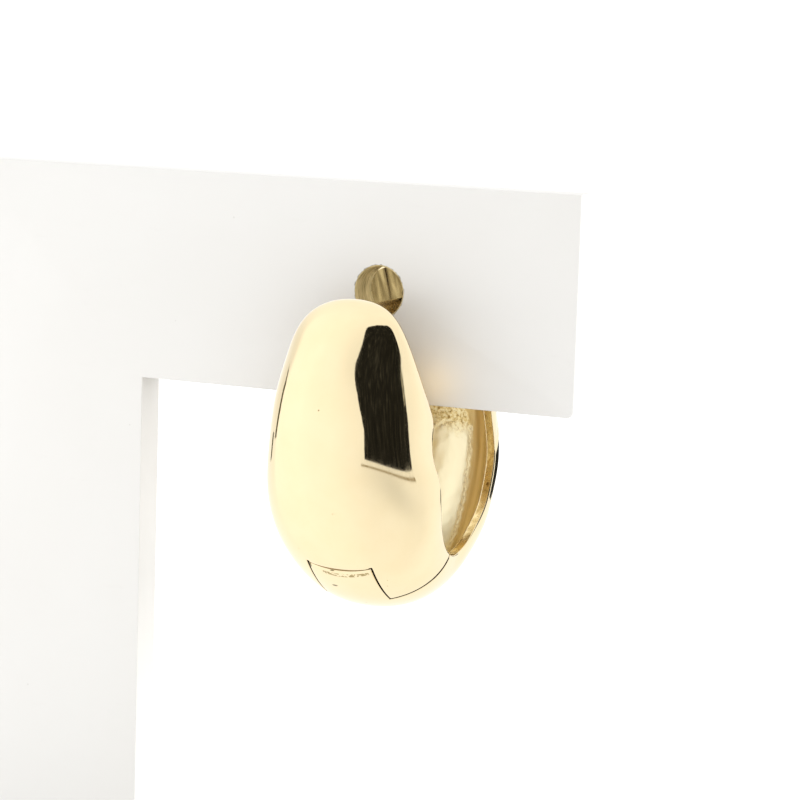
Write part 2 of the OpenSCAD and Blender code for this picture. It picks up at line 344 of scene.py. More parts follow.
def ring_quads(ids):
    """The same from a grid of indices whose last column meets its first."""
    closed = np.concatenate([ids, ids[:, :1]], axis=1)
    corners = [closed[:-1, :-1], closed[:-1, 1:], closed[1:, 1:], closed[1:, :-1]]
    return np.stack(corners, axis=-1).reshape(-1, 4)


def strip(left, right):
    """Quads between two lines of indices of one length."""
    return np.stack([left[:-1], left[1:], right[1:], right[:-1]], axis=-1)


def fan(centre, ring):
    """Triangles from one point to a line of indices."""
    return np.stack([np.full(len(ring) - 1, centre), ring[1:], ring[:-1]], axis=-1)


def make_mesh(name, points, face_groups, materials):
    """A mesh in metres from points in mm and (faces, material number) groups, with outward faces."""
    faces = []
    numbers = []
    for group, number in face_groups:
        faces += [list(face) for face in group]
        numbers += [number] * len(group)
    mesh = bpy.data.meshes.new(name)
    mesh.from_pydata((np.asarray(points) * MM).tolist(), [], faces)
    for material in materials:
        mesh.materials.append(material)
    mesh.polygons.foreach_set("material_index", numbers)
    work = bmesh.new()
    work.from_mesh(mesh)
    if work.calc_volume(signed=True) < 0:
        bmesh.ops.reverse_faces(work, faces=work.faces)
    work.to_mesh(mesh)
    work.free()
    mesh.update()
    piece = bpy.data.objects.new(name, mesh)
    bpy.context.scene.collection.objects.link(piece)
    return piece


print("A grid of two by three corners has the faces:", quads(0, 3, 2, 3).tolist())

# %% Grids of a half
HOLLOW_ROWS = 150
TIP_CROWDING = 1.5
COARSE_COLUMNS = 54
SLOT_COLUMNS = 12
SLOT_COLUMNS_INSIDE = 2


def half_grids(tip, hollow_last, last, solid_tip, width_run, depth_run, solid_rows, distance, relief):
    """Outer grid, inner grid and the points of their two tips. Angles run from the tip to the hollow's end,
    crowded at the tip by u^1.5, and on past the seam. solid_tip is how many degrees of the tip are solid, and
    the runs are how many it takes to open."""
    way = np.sign(last - tip)
    hollow_tip = tip + way * solid_tip
    crowd = (np.arange(1, HOLLOW_ROWS + 1) / HOLLOW_ROWS) ** TIP_CROWDING
    hollow_angles = tip + (hollow_last - tip) * crowd
    solid_angles = hollow_last + (last - hollow_last) * np.arange(1, solid_rows + 1) / solid_rows
    outer_angles = np.concatenate([hollow_angles, solid_angles])
    inner_angles = hollow_tip + (hollow_last - hollow_tip) * crowd
    outer = section_grid(outer_angles, opened(outer_angles, tip, width_run),
                         opened(outer_angles, tip, depth_run), 0.0, COARSE_COLUMNS, SLOT_COLUMNS, OUTER_SKIN)
    outer = soften_cut(outer, distance, -way)
    open_inside = opened(inner_angles, hollow_tip, width_run - solid_tip / 2)
    inner = section_grid(inner_angles, open_inside, open_inside, WALL, COARSE_COLUMNS, SLOT_COLUMNS_INSIDE,
                         INNER_SKIN)
    inner = relief(inner, way)
    tips = [np.append(HOLE_X, hoop_point(a, section(a)[RIM])) for a in (np.array(tip), np.array(hollow_tip))]
    return outer, inner, tips


print("Rows of a half's hollow:", HOLLOW_ROWS)

# %% Skin of a half
def half_shell(name, outer, inner, tips, materials):
    """One closed skin. The tips are closed by fans, the grids are joined by a satin ribbon along each rim, and
    a flat deck and an end close the solid stretch beside the seam."""
    rows, columns = outer.shape[:2]
    inner_columns = inner.shape[1]
    outer_ids = 1 + np.arange(rows * columns).reshape(rows, columns)
    inner_start = 1 + rows * columns
    inner_ids = inner_start + 1 + np.arange(HOLLOW_ROWS * inner_columns).reshape(HOLLOW_ROWS, inner_columns)
    points = np.concatenate([tips[0][None], outer.reshape(-1, 3), tips[1][None], inner.reshape(-1, 3)])
    end_row = HOLLOW_ROWS - 1
    deck = [[outer_ids[end_row, 0], outer_ids[end_row + 1, 0], outer_ids[end_row + 1, -1],
             outer_ids[end_row, -1], inner_ids[end_row, -1], inner_ids[end_row, 0]]]
    left, right = outer_ids[end_row + 1:, 0], outer_ids[end_row + 1:, -1]
    inner_faces = quads(inner_start + 1, inner_columns, HOLLOW_ROWS, inner_columns)
    column = np.tile(np.arange(inner_columns - 1), HOLLOW_ROWS - 1)
    middle = (column >= LIP_STEPS) & (column < inner_columns - 1 - LIP_STEPS)
    groups = [
        (fan(0, outer_ids[0]), POLISHED),
        (quads(1, columns, rows, columns), POLISHED),
        (fan(inner_start, inner_ids[0])[:, ::-1], CAST),
        (inner_faces[middle][:, ::-1], CAST),
        (inner_faces[~middle][:, ::-1], POLISHED),
        (strip(outer_ids[:end_row + 1, 0], inner_ids[:, 0]), SATIN),
        (strip(inner_ids[:, -1], outer_ids[:end_row + 1, -1]), SATIN),
        ([[0, outer_ids[0, 0], inner_ids[0, 0]], [0, inner_ids[0, 0], inner_start]], SATIN),
        ([[0, inner_ids[0, -1], outer_ids[0, -1]], [0, inner_start, inner_ids[0, -1]]], SATIN),
        ([inner_ids[end_row, ::-1]], CAST),
        (deck, SATIN),
        (strip(left, right), SATIN),
        ([outer_ids[-1]], SATIN),
    ]
    return make_mesh(name, points, groups, materials)


print("Columns of a lip:", LIP_STEPS)

# %% [markdown]
# ## Cutters and cuts
# The goldsmith saws the seam, files the slot and drills the pin's bore. The cut faces could be built by hand
# into the grids, but a boolean cut is exact and much shorter to write. Each cutter is a box or a round bar,
# made at its place, used once and thrown away. The Manifold solver is quick, and it keeps the skin closed.

# %% Boxes and round bars
BOX_FACES = [[0, 1, 3, 2], [4, 6, 7, 5], [0, 4, 5, 1], [2, 3, 7, 6], [0, 2, 6, 4], [1, 5, 7, 3]]
BAR_SIDES = 48
ARCH_SIDES = 64
TONGUE_SIDES = 128


def box_solid(name, low, high, place, materials):
    """A box from its lowest to its highest corner, put in place by a function of points."""
    x, y, z = zip(low, high)
    corners = np.stack(np.meshgrid(x, y, z, indexing="ij"), axis=-1).reshape(-1, 3)
    return make_mesh(name, place(corners), [(BOX_FACES, SATIN)], materials)


def round_bar(name, profile, sides, place, materials):
    """A profile of (distance along x, radius) carried round the x axis and closed at both ends."""
    along, radius = np.array(profile).T
    turn = 2 * np.pi * np.arange(sides) / sides
    ring = np.stack([np.cos(turn), np.sin(turn)], axis=-1)
    grid = np.concatenate([np.broadcast_to(along[:, None, None], (len(along), sides, 1)),
                           radius[:, None, None] * ring], axis=-1)
    ids = np.arange(len(along) * sides).reshape(len(along), sides)
    groups = [(ring_quads(ids), SATIN), ([ids[0, ::-1], ids[-1]], SATIN)]
    return make_mesh(name, place(grid.reshape(-1, 3)), groups, materials)


print("Sides of a bar, of the arch and of the tongue's end:", BAR_SIDES, ARCH_SIDES, TONGUE_SIDES)

# %% Cuts
def apply_modifiers(piece):
    """Turns a piece's modifiers into its mesh."""
    shaped = bpy.data.meshes.new_from_object(piece.evaluated_get(bpy.context.evaluated_depsgraph_get()))
    piece.modifiers.clear()
    old = piece.data
    piece.data = shaped
    bpy.data.meshes.remove(old)


def combine(piece, tool, operation):
    """Cuts, joins or keeps what two solids share, and removes the tool."""
    boolean = piece.modifiers.new("boolean", "BOOLEAN")
    boolean.operation = operation
    boolean.solver = "MANIFOLD"
    boolean.object = tool
    bpy.context.view_layer.update()
    apply_modifiers(piece)
    tool_mesh = tool.data
    bpy.data.objects.remove(tool)
    bpy.data.meshes.remove(tool_mesh)


def tongue_cutters(name, half, radius, inner, materials):
    """The tongue seen along the pin: a round end about the pin, and a neck that crosses the seam."""
    end = round_bar(name + "_end", [(-half, radius), (half, radius)], TONGUE_SIDES, from_pin, materials)
    neck = box_solid(name + "_neck", (-half, 0, -OUT_REACH), (half, pin_to_seam + NECK_OVERRUN, inner),
                     from_pin, materials)
    return [end, neck]


def seam_cutter(name, edge, way, materials):
    """All that lies on one side of the seam."""
    low, high = sorted((edge, edge + way * CUT_DEPTH))
    return box_solid(name, (-CUT_SPAN, low, -OUT_REACH), (CUT_SPAN, high, IN_REACH), from_pin, materials)


print("A seam cutter is", 2 * CUT_SPAN, "mm wide and", CUT_DEPTH, "mm deep")

# %% [markdown]
# ## Node helpers for the finishes
# Gold and lacquer could be given as painted pictures, but they would need unwrapping and would blur up close.
# Here they are small graphs of noise and ramps on Object coordinates, which stay sharp and ride with their
# piece. A few helpers keep each recipe to a handful of lines.

# %% Nodes and coordinates
def new_material(name):
    """An empty material with its shader, and the graph to add to."""
    material = bpy.data.materials.new(name)
    material.use_nodes = True
    return material, material.node_tree, material.node_tree.nodes["Principled BSDF"]


def node(tree, kind, settings=None, **inputs):
    """Adds a node. settings sets its own options, and inputs fills sockets with a value or links a socket."""
    made = tree.nodes.new(kind)
    for key, value in (settings or {}).items():
        setattr(made, key, value)
    for key, value in inputs.items():
        socket = made.inputs[key.replace("_", " ")] if not key.startswith("in") else made.inputs[int(key[2:])]
        if isinstance(value, bpy.types.NodeSocket):
            tree.links.new(value, socket)
        else:
            socket.default_value = value
    return made


def object_coordinates(tree, scale=(1.0, 1.0, 1.0), place=(0.0, 0.0, 0.0)):
    """Object coordinates in millimetres, measured from a place and stretched by scale."""
    source = node(tree, "ShaderNodeTexCoord").outputs["Object"]
    factors = [value / MM for value in scale]
    shift = [-value * factor for value, factor in zip(place, scale)]
    return node(tree, "ShaderNodeMapping", Vector=source, Scale=factors, Location=shift).outputs["Vector"]


def noise(tree, vector, scale, detail=2.0, roughness=0.5):
    """Noise value between 0 and 1."""
    return node(tree, "ShaderNodeTexNoise", Vector=vector, Scale=scale, Detail=detail,
                Roughness=roughness).outputs["Fac"]


print("Object coordinates are multiplied by", round(1 / MM), "so that a noise's scale is per millimetre")

# %% Ramps, mixing and bump
def ramp(tree, value, stops):
    """A colour ramp: stops are (position, (r, g, b))."""
    made = node(tree, "ShaderNodeValToRGB", Fac=value)
    elements = made.color_ramp.elements
    while len(elements) < len(stops):
        elements.new(0.5)
    for element, (position, colour) in zip(elements, stops):
        element.position = position
        element.color = (*colour, 1.0)
    return made.outputs["Color"]


def grey_ramp(tree, value, stops):
    """The same for a single number."""
    return ramp(tree, value, [(position, (level, level, level)) for position, level in stops])


def mix_colour(tree, factor, a, b):
    """Colour a where the factor is 0, colour b where it is 1."""
    made = tree.nodes.new("ShaderNodeMix")
    made.data_type = "RGBA"
    for socket, value in ((made.inputs["Factor"], factor), (made.inputs[6], a), (made.inputs[7], b)):
        if isinstance(value, bpy.types.NodeSocket):
            tree.links.new(value, socket)
        else:
            socket.default_value = (*value, 1.0) if isinstance(value, tuple) else value
    return made.outputs[2]


def math_node(tree, operation, a, b=0.0, clamp=False):
    """One step of arithmetic."""
    made = tree.nodes.new("ShaderNodeMath")
    made.operation = operation
    made.use_clamp = clamp
    for socket, value in zip(made.inputs, (a, b)):
        if isinstance(value, bpy.types.NodeSocket):
            tree.links.new(value, socket)
        else:
            socket.default_value = value
    return made.outputs["Value"]


def bump(tree, shader, layers):
    """Stacks bumps of (height socket, depth in mm) on the shader's normal."""
    normal = None
    for height, depth in layers:
        made = node(tree, "ShaderNodeBump", Height=height, Distance=depth * MM, Strength=1.0)
        if normal is not None:
            tree.links.new(normal, made.inputs["Normal"])
        normal = made.outputs["Normal"]
    tree.links.new(normal, shader.inputs["Normal"])


print("Helpers: ramp, grey_ramp, mix_colour, math_node and bump")

# %% [markdown]
# ## Gold
# All the gold is one plated metal with three finishes. The outside is polished: almost a mirror, with a
# slow waviness left by the wheel, hair-fine marks, a few pits and, by the tongue, three nicks and a worn row
# of specks. The marks could be cut into the mesh, but they are far finer than its faces, so they are colour,
# roughness and a little bump. A speck is where a noise passes a level, and a nick is a small oval.

# %% Polished gold
GOLD = (0.87, 0.735, 0.475)
GOLD_DEEP = (0.8, 0.64, 0.36)
PIT = (0.25, 0.16, 0.05)
SPECK = (0.3, 0.22, 0.08)
NICK = (0.12, 0.09, 0.03)
# The worn row: distance from the pin less 1, how soft it ends, its middle and half length along the pin,
# and how far below the pin it stops
WORN_NEAR, WORN_FAR, WORN_SOFT = 0.36, 0.48, 0.03
WORN_ASIDE, WORN_HALF = 0.35, 1.6
WORN_BELOW = 0.9
# Nicks by the tongue: place of the middle, and half lengths along x, y and z
NICKS = [((8.0, -5.78, 29.02), (0.17, 0.3, 0.05)), ((7.69, -4.61, 27.84), (0.22, 0.3, 0.07)),
         ((6.42, -5.62, 29.2), (0.13, 0.3, 0.2))]


def polished_gold():
    """Mirror gold: slow waves, fine wheel marks, a few pits and nicks, and a worn row of specks by the
    tongue's end."""
    material, tree, shader = new_material("gold_polished")
    place = object_coordinates(tree)
    waves = noise(tree, place, 0.22, 0.0)
    marks = noise(tree, object_coordinates(tree, (6.0, 6.0, 0.6)), 1.6, 3.0)
    pits = grey_ramp(tree, noise(tree, place, 3.1, 1.0), [(0.0, 0.0), (0.17, 0.0), (0.2, 1.0), (1.0, 1.0)])
    tone = noise(tree, place, 0.5, 3.0)
    colour = mix_colour(tree, grey_ramp(tree, tone, [(0.35, 0.0), (0.75, 0.25)]), GOLD, GOLD_DEEP)
    colour = mix_colour(tree, pits, PIT, colour)
    about_pin = object_coordinates(tree, (0.0, 1.0, 1.0), (0.0, pin_place[1], pin_place[2]))
    reach = node(tree, "ShaderNodeVectorMath", {"operation": "LENGTH"}, in0=about_pin).outputs["Value"]
    row = grey_ramp(tree, math_node(tree, "SUBTRACT", reach, 1.0),
                    [(WORN_NEAR - WORN_SOFT, 0.0), (WORN_NEAR, 1.0),
                     (WORN_FAR, 1.0), (WORN_FAR + WORN_SOFT, 0.0)])
    parts = node(tree, "ShaderNodeSeparateXYZ", Vector=place)
    upper = math_node(tree, "GREATER_THAN", parts.outputs["Z"], pin_place[2] - WORN_BELOW)
    aside = math_node(tree, "SUBTRACT", parts.outputs["X"], HOLE_X + WORN_ASIDE)
    within = math_node(tree, "LESS_THAN", math_node(tree, "ABSOLUTE", aside), WORN_HALF)
    specks = grey_ramp(tree, noise(tree, place, 5.5, 3.0), [(0.46, 0.0), (0.52, 1.0)])
    worn = math_node(tree, "MULTIPLY", row, specks)
    for limit in (upper, within, 0.85):
        worn = math_node(tree, "MULTIPLY", worn, limit)
    colour = mix_colour(tree, worn, colour, SPECK)
    for middle, halves in NICKS:
        oval = object_coordinates(tree, [1 / half for half in halves], middle)
        far = node(tree, "ShaderNodeVectorMath", {"operation": "LENGTH"}, in0=oval).outputs["Value"]
        nick = grey_ramp(tree, math_node(tree, "MULTIPLY", far, 0.5), [(0.36, 0.85), (0.55, 0.0)])
        colour = mix_colour(tree, nick, colour, NICK)
    tree.links.new(colour, shader.inputs["Base Color"])
    tree.links.new(grey_ramp(tree, marks, [(0.3, 0.035), (0.8, 0.1)]), shader.inputs["Roughness"])
    shader.inputs["Metallic"].default_value = 1.0
    bump(tree, shader, [(waves, 0.006), (marks, 0.0002), (pits, 0.004)])
    return material


polished = polished_gold()
print("Polished gold:", len(polished.node_tree.nodes), "nodes")

# %% [markdown]
# ## Gold as it was cast
# The hollow side is as it came from the mould: a bright smooth middle, a coarse grain above it and along its
# edges, and a smooth brown band beside each rim. The grain above is darker, and that darkness is painted shade
# of the board that the hoop hangs from. One even colour would look like plastic there, and a painted mask would
# have to be made by hand. Instead the distance from the middle line, made to wander by a noise, picks the
# finish. A ramp's places lie between 0 and 1, so the distance is first divided by ten.

# %% Cast gold
CAST_BRIGHT = (0.99, 0.9, 0.62)


def cast_gold():
    """Cast gold: bright in the middle, coarse above it and along its edges, brown and streaked by the rims.
    Above the middle, the grain's dark tones are also painted shade of the board.
    """
    material, tree, shader = new_material("gold_cast")
    place = object_coordinates(tree)
    from_middle = object_coordinates(tree, (1.0, 1.0, 1.0), (HOLE_X, HOOP_BACK, HOOP_Z))
    parts = node(tree, "ShaderNodeSeparateXYZ", Vector=from_middle)
    wander = math_node(tree, "MULTIPLY", math_node(tree, "SUBTRACT", noise(tree, place, 2.0, 3.0), 0.5), 0.7)
    raised = math_node(tree, "MULTIPLY", math_node(tree, "MAXIMUM", parts.outputs["Z"], 0.0), 0.4)
    sideways = math_node(tree, "ADD", math_node(tree, "ABSOLUTE", parts.outputs["X"]),
                         math_node(tree, "ADD", wander, raised))
    tenths = math_node(tree, "MULTIPLY", sideways, 0.1)
    band = grey_ramp(tree, tenths, [(0.225, 0.0), (0.25, 1.0)])
    edge = grey_ramp(tree, tenths, [(0.195, 0.0), (0.215, 0.45), (0.23, 0.45), (0.245, 0.0)])
    height = math_node(tree, "ADD", parts.outputs["Z"], math_node(tree, "MULTIPLY", wander, 2.0))
    # Painted shade as well as grain: above the middle, the coarse and darker grain also stands in for the
    # board's shade
    above = grey_ramp(tree, math_node(tree, "MULTIPLY", math_node(tree, "ADD", height, 1.5), 0.1),
                      [(0.09, 0.0), (0.2, 1.0)])
    grain_and_shade = math_node(tree, "MAXIMUM", above, edge)
    grains = noise(tree, place, 4.6, 3.0, 0.6)
    streaks = noise(tree, object_coordinates(tree, (1.6, 0.12, 0.12)), 1.2, 3.0)
    coarse = ramp(tree, grains,
                  [(0.34, (0.36, 0.23, 0.07)), (0.48, (0.8, 0.62, 0.28)), (0.6, (0.95, 0.83, 0.5))])
    brown = ramp(tree, streaks,
                 [(0.32, (0.6, 0.43, 0.17)), (0.52, (0.79, 0.6, 0.27)), (0.7, (0.88, 0.7, 0.35))])
    colour = mix_colour(tree, grain_and_shade, CAST_BRIGHT, coarse)
    colour = mix_colour(tree, band, colour, brown)
    tree.links.new(colour, shader.inputs["Base Color"])
    shader.inputs["Roughness"].default_value = 0.36
    shader.inputs["Metallic"].default_value = 1.0
    grained = math_node(tree, "MULTIPLY", grains, math_node(tree, "SUBTRACT", grain_and_shade, band, True))
    bump(tree, shader, [(grained, 0.035), (streaks, 0.006)])
    return material


cast = cast_gold()
print("Cast gold:", len(cast.node_tree.nodes), "nodes")

# %% [markdown]
# ## Gold on the rims and in the cuts
# The rims are brushed, not polished. High up by the catch, behind the board, olive streaks are painted shade of
# the board, and the sawn gaps of the hinge are brown. These could be three materials, but their edges would
# follow the mesh's faces. One material that looks at height and depth puts each tone where it belongs.

# %% Satin gold
# Where the painted shade of the board begins: how far back from the board's middle and how high above the
# hoop's middle
CATCH_BEHIND, CATCH_ABOVE = 1.4, 6.9
HINGE_BEFORE, HINGE_BELOW = 1.0, -4.5
SAWN = (0.26, 0.17, 0.07)


def satin_gold():
    """Brushed gold with dark specks, painted board shade as olive streaks by the catch, brown in the hinge's
    gaps.
    """
    material, tree, shader = new_material("gold_satin")
    place = object_coordinates(tree)
    specks = noise(tree, place, 2.2, 4.0)
    colour = ramp(tree, specks,
                  [(0.28, (0.24, 0.15, 0.05)), (0.4, (0.7, 0.51, 0.21)), (0.7, (0.9, 0.72, 0.38))])
    parts = node(tree, "ShaderNodeSeparateXYZ", Vector=object_coordinates(tree, place=(HOLE_X, 0.0, HOOP_Z)))
    # Painted shade: behind the board and high up, the board shades the back half's top, so the colour there
    # turns to dark olive streaks
    behind = math_node(tree, "GREATER_THAN", parts.outputs["Y"], CATCH_BEHIND)
    high = math_node(tree, "MULTIPLY", math_node(tree, "GREATER_THAN", parts.outputs["Z"], CATCH_ABOVE), behind)
    low = math_node(tree, "LESS_THAN", parts.outputs["Z"], HINGE_BELOW)
    sawn = math_node(tree, "MULTIPLY", low, math_node(tree, "LESS_THAN", parts.outputs["Y"], HINGE_BEFORE))
    streaks = noise(tree, object_coordinates(tree, (2.2, 0.3, 0.3)), 1.3, 3.0)
    painted_board_shade = ramp(tree, streaks,
                [(0.3, (0.13, 0.09, 0.03)), (0.5, (0.3, 0.22, 0.09)), (0.7, (0.52, 0.4, 0.18))])
    colour = mix_colour(tree, high, colour, painted_board_shade)
    colour = mix_colour(tree, sawn, colour, SAWN)
    tree.links.new(colour, shader.inputs["Base Color"])
    tree.links.new(grey_ramp(tree, specks, [(0.3, 0.34), (0.7, 0.2)]), shader.inputs["Roughness"])
    shader.inputs["Metallic"].default_value = 1.0
    bump(tree, shader, [(specks, 0.01)])
    return material


GOLDS = [polished, cast, satin_gold()]
print("Gold finishes:", [material.name for material in GOLDS])

# %% [markdown]
# ## The uneven wall of the casting
# Inside the halves the wall is never quite even. Bump in the material only turns the light, so the wider
# unevenness is a real, very shallow relief on the inner grid: many smooth waves in random directions, pushed
# along the surface's normal. A Displace modifier would roughen the rims too, and here they stay clean.

# %% Relief inside the halves
RELIEF_SEED = 7
RELIEF_WAVES = 60
RELIEF_PITCH = 5.5
RELIEF_DEPTH = 0.006
FADE_COLUMNS = 8.0
FADE_ROWS = 6.0
rng = np.random.default_rng(RELIEF_SEED)
wave_turns = rng.normal(size=(RELIEF_WAVES, 3)) * RELIEF_PITCH
wave_starts = rng.uniform(0, 2 * np.pi, RELIEF_WAVES)


def cast_relief(points, way):
    """Height is the sum of sin(turn . point + start) over all waves, faded out towards the grid's edges."""
    height = np.sin(points @ wave_turns.T + wave_starts).sum(axis=-1) / math.sqrt(RELIEF_WAVES)
    columns = np.arange(points.shape[1])
    from_rim = np.minimum(columns, columns[::-1]) - LIP_STEPS
    fade = np.clip(from_rim / FADE_COLUMNS, 0, 1)
    rows = np.arange(points.shape[0])
    fade = fade[None] * np.clip(np.minimum(rows, rows[::-1]) / FADE_ROWS, 0, 1)[:, None]
    return points + grid_normals(points) * (RELIEF_DEPTH * way * height * fade)[..., None]


print("Relief waves:", RELIEF_WAVES, "depth in mm:", RELIEF_DEPTH)

# %% [markdown]
# ## The front half
# The smooth dome: a shell from its closed top end to the seam, two small ears inside that hold the pin, and
# the ear post. The post could be a piece of its own, but a goldsmith solders it on, so it is joined into the
# same skin. Then the seam, the tongue's slot and the pin's bore are cut.

# %% Front half
FRONT_TIP = 24.5
FRONT_SOLID_TIP = 6.5
FRONT_WIDTH_RUN = 47.0
FRONT_DEPTH_RUN = 17.5
FRONT_PAST_SEAM = 8.0
FRONT_SOLID_ROWS = 84
SOLID_SEAM = 5.5
POST_R = 0.45
POST_Z = HOLE_Z - 1.1
POST_FRONT = -5.5
POST_BACK = 4.3
POST_TAPER = 0.5
POST_TIP_R = 0.22
POST_ROUND = 0.08
BORE_OVERRUN = 0.1
SHARP_GOLD = math.radians(35.0)
ear_outer = TONGUE_HALF + SLOT_GAP + EAR_T


def at_post(points):
    """Turns a bar's x axis to the frame's y axis, at the post's height."""
    return np.stack([HOLE_X - points[:, 1], points[:, 0], POST_Z + points[:, 2]], axis=-1)


def pin_bore():
    """The bar that bores the pin's hole."""
    half = ear_outer + BORE_OVERRUN
    radius = PIN_R + PIN_CLEAR
    return round_bar("bore", [(-half, radius), (half, radius)], BAR_SIDES, from_pin, GOLDS)


front_grids = half_grids(FRONT_TIP, SEAM_ANGLE - SOLID_SEAM, SEAM_ANGLE + FRONT_PAST_SEAM, FRONT_SOLID_TIP,
                         FRONT_WIDTH_RUN, FRONT_DEPTH_RUN, FRONT_SOLID_ROWS, front_distance, cast_relief)
front = half_shell("front_half_gold", *front_grids, GOLDS)
for side in (-1, 1):
    ends = sorted((side * (ear_outer - EAR_T - BORE_OVERRUN), side * ear_outer))
    combine(front, round_bar("ear", [(end, EAR_R) for end in ends], BAR_SIDES, from_pin, GOLDS), "UNION")
turn = np.linspace(0, np.pi / 2, 5)
post_end = np.stack([POST_BACK - POST_ROUND * (1 - np.sin(turn)),
                     POST_TIP_R - POST_ROUND * (1 - np.cos(turn))], axis=-1)
post_profile = np.concatenate([[(POST_FRONT, POST_R), (POST_BACK - POST_TAPER, POST_R)], post_end])
combine(front, round_bar("post", post_profile, BAR_SIDES, at_post, GOLDS), "UNION")
combine(front, seam_cutter("seam", pin_to_seam - SEAM_GAP / 2, 1, GOLDS), "DIFFERENCE")
for cutter in tongue_cutters("slot", SLOT_HALF, TONGUE_R + SLOT_GAP, NECK_INNER + SLOT_GAP, GOLDS):
    combine(front, cutter, "DIFFERENCE")
combine(front, pin_bore(), "DIFFERENCE")
front.data.set_sharp_from_angle(angle=SHARP_GOLD)
print("Front half faces:", len(front.data.polygons))

# %% [markdown]
# ## The back half
# The same way of building, from its own closed top end to the seam. The tongue could be made apart and joined,
# but then its skin would have to meet the shell's exactly. Instead the shell runs on past the seam, and all of
# it there is cut away except the tongue. An arched pocket near the top end takes the post.

# %% Back half
BACK_TIP = 350.0
BACK_SOLID_TIP = 20.5
BACK_WIDTH_RUN = 42.0
BACK_DEPTH_RUN = 40.0
BACK_PAST_SEAM = 32.0
BACK_SOLID_ROWS = 150
CATCH_HALF = 0.6
CATCH_LOW = 0.53
CATCH_HIGH = 1.05
CATCH_END_GAP = 0.5

back_grids = half_grids(BACK_TIP, SEAM_ANGLE + SOLID_SEAM, SEAM_ANGLE - BACK_PAST_SEAM, BACK_SOLID_TIP,
                        BACK_WIDTH_RUN, BACK_DEPTH_RUN, BACK_SOLID_ROWS, back_distance, cast_relief)
back = half_shell("back_half_gold", *back_grids, GOLDS)
beyond_seam = seam_cutter("beyond_seam", pin_to_seam + SEAM_GAP / 2, -1, GOLDS)
for keeper in tongue_cutters("tongue", TONGUE_HALF, TONGUE_R, NECK_INNER, GOLDS):
    combine(beyond_seam, keeper, "DIFFERENCE")
combine(back, beyond_seam, "DIFFERENCE")
combine(back, pin_bore(), "DIFFERENCE")
catch_depth = POST_BACK + CATCH_END_GAP
arch_z = POST_Z + CATCH_HIGH - CATCH_HALF


def at_arch(points):
    """Turns a bar's x axis to the frame's y axis, at the arch's centre."""
    return np.stack([HOLE_X - points[:, 1], points[:, 0], arch_z + points[:, 2]], axis=-1)


pocket = box_solid("pocket", (HOLE_X - CATCH_HALF, 0, POST_Z - CATCH_LOW),
                   (HOLE_X + CATCH_HALF, catch_depth, arch_z), lambda points: points, GOLDS)
arch_profile = [(0, CATCH_HALF), (catch_depth, CATCH_HALF)]
combine(pocket, round_bar("arch", arch_profile, ARCH_SIDES, at_arch, GOLDS), "UNION")
combine(back, pocket, "DIFFERENCE")
back.data.set_sharp_from_angle(angle=SHARP_GOLD)
print("Back half faces:", len(back.data.polygons))

# %% [markdown]
# ## The board and its foot
# The board is a lacquered fibre sheet. A Bevel modifier on a cut-out slab leaves long thin faces round a
# drilled hole, so the edge is made first: a rounded profile carried round the outline and round the hole. Then
# the flat faces are filled between the two. The hole was drilled after lacquering, so its wall shows the raw
# brown core.

# %% Sizes of board and foot
PANEL_T = 2.3
PANEL_W = 13.65
ARM_L = 43.8
ARM_RIGHT = HOLE_X + 13.3
ARM_TOP = HOLE_Z + PANEL_W / 2
ARM_LOW = ARM_TOP - PANEL_W
UPRIGHT_LEFT = ARM_RIGHT - ARM_L
HOLE_R = 1.6
CORNER_R = 0.5
BASE_W, BASE_D, BASE_T = 50.0, 30.0, 3.0
PANEL_EDGE = 0.09
BASE_EDGE = 0.15
EDGE_STEPS = 5
CORNER_STEPS = 10
HOLE_STEPS = 96
SHARP_BOARD = math.radians(30.0)
LACQUER, CORE = range(2)
print("Board in mm:", ARM_L, "x", round(ARM_TOP - BASE_T, 3), "x", PANEL_T)

# %% Paths and the edge's profile
def arc(centre, radius, start, stop, steps):
    """Points of an arc, angles in degrees."""
    turn = np.radians(np.linspace(start, stop, steps))
    return np.array(centre) + radius * np.stack([np.cos(turn), np.sin(turn)], axis=-1)


def inward_directions(path):
    """The way in at each corner of a closed path that keeps both its sides at an even distance: twice the sum
    of the sides' normals, divided by the sum's length squared."""
    before = path - np.roll(path, 1, axis=0)
    after = np.roll(path, -1, axis=0) - path
    turned = [np.stack([-side[:, 1], side[:, 0]], axis=-1) / np.linalg.norm(side, axis=1, keepdims=True)
              for side in (before, after)]
    total = turned[0] + turned[1]
    return 2 * total / (total ** 2).sum(axis=1, keepdims=True)


def edge_profile(thickness, edge):
    """(inset, height) pairs of a rounded edge: a quarter circle, a straight stretch and a quarter circle."""
    turn = np.linspace(0, np.pi / 2, EDGE_STEPS)
    inset = edge * (1 - np.sin(turn))
    height = edge * (1 - np.cos(turn))
    return np.concatenate([np.stack([inset, height], -1), np.stack([inset, thickness - height], -1)[::-1]])


print("Points of an edge's profile:", len(edge_profile(PANEL_T, PANEL_EDGE)))

# %% [markdown]
# ## White lacquer and its brown core
# The lacquer is not a clean white: it has a faint warm drift, tiny dust specks and a few hairline
# scratches. Round the hole the drill left a ragged dark line. A plain white would be quicker, but next to the
# gold it looks like paper. Each mark comes from its own pattern: specks from random cells, hairlines where a
# stretched noise passes a level, and the line from the distance to the hole, made uneven by a noise.

# %% Lacquer and core
WHITE = (0.683, 0.675, 0.654)
WHITE_WARM = (0.657, 0.645, 0.619)
DUST = (0.45, 0.43, 0.4)
HAIRLINE = (0.6, 0.58, 0.55)
BURR = (0.16, 0.13, 0.08)


